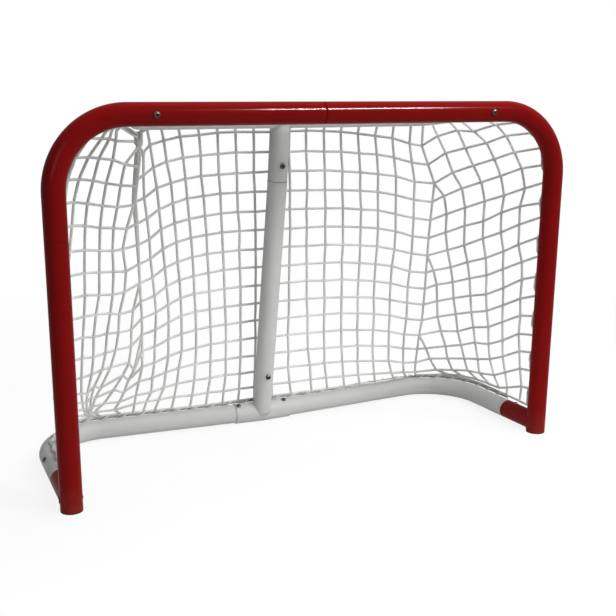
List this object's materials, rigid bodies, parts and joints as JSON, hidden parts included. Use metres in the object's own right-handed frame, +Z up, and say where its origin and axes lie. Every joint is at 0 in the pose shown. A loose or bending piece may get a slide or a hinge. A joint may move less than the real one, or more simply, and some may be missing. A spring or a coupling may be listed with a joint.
{
  "type": "hockey goal",
  "caption": "Small hockey goal with a red bent-tube front frame, a white tube base and rear tee, a leaning brace, a top bar and a knotted cord net.",
  "frame": {"origin": "on the floor, below the middle of the bounding box", "axes": "+Z up, +X along the crossbar, -Y out of the goal's mouth towards the player"},
  "size_m": [0.914, 0.3324, 0.61],
  "materials": {
    "red_paint": "gloss red paint",
    "white_paint": "semi-gloss white paint",
    "zinc": "zinc plated",
    "black_plastic": "satin",
    "net_cord": "twisted synthetic cord"
  },
  "bodies": {
    "root": {"left_post": "red_paint", "right_post": "red_paint", "left_corner": "red_paint", "right_corner": "red_paint", "left_base_tube": "white_paint", "right_base_tube": "white_paint", "rear_tee": "white_paint", "brace_tube": "white_paint", "top_bar": "white_paint", "top_bar_insert_left": "zinc", "top_bar_insert_right": "zinc", "crossbar_bolt_left": "zinc", "crossbar_bolt_right": "zinc", "brace_upper_bolt": "zinc", "brace_upper_nut": "zinc", "brace_lower_bolt": "zinc", "brace_lower_nut": "zinc", "tee_screw_left": "zinc", "tee_screw_right": "zinc", "stub_screw_left": "zinc", "stub_screw_right": "zinc", "rail_screw_left": "zinc", "rail_screw_right": "zinc", "left_foot_cap": "black_plastic", "right_foot_cap": "black_plastic", "net_back": "net_cord", "net_left": "net_cord", "net_right": "net_cord", "net_top": "net_cord", "net_base_rope": "net_cord", "net_crossbar_cord": "net_cord", "net_post_cord_left": "net_cord", "net_post_cord_right": "net_cord"}
  },
  "joints": []
}
